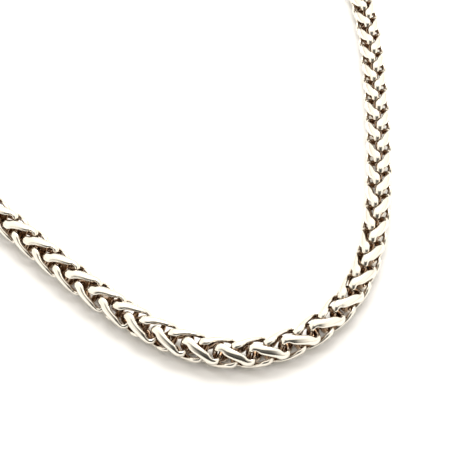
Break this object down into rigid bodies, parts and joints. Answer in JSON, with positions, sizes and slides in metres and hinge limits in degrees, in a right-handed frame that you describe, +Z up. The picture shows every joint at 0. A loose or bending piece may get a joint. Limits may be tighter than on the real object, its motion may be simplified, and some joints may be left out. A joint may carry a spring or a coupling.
{
  "type": "wheat chain necklace",
  "caption": "Polished wheat chain necklace lying in a closed loop: twisted oval links interleave in rows of V strokes, with jump rings and a plain clasp at the back.",
  "frame": {"origin": "middle of the loop's box, on the surface that the necklace lies on", "axes": "+Z up from the surface, -Y towards the front of the loop, where a pendant would hang, +X to the right as seen from the front"},
  "size_m": [0.1384, 0.1616, 0.005],
  "materials": {
    "links": "mirror polished silver, darker between the strokes",
    "findings": "mirror polished silver"
  },
  "bodies": {
    "root": {"chain_left": "links", "chain_right": "links", "clasp_ring": "findings", "catch_ring": "findings", "clasp": "findings"}
  },
  "joints": []
}
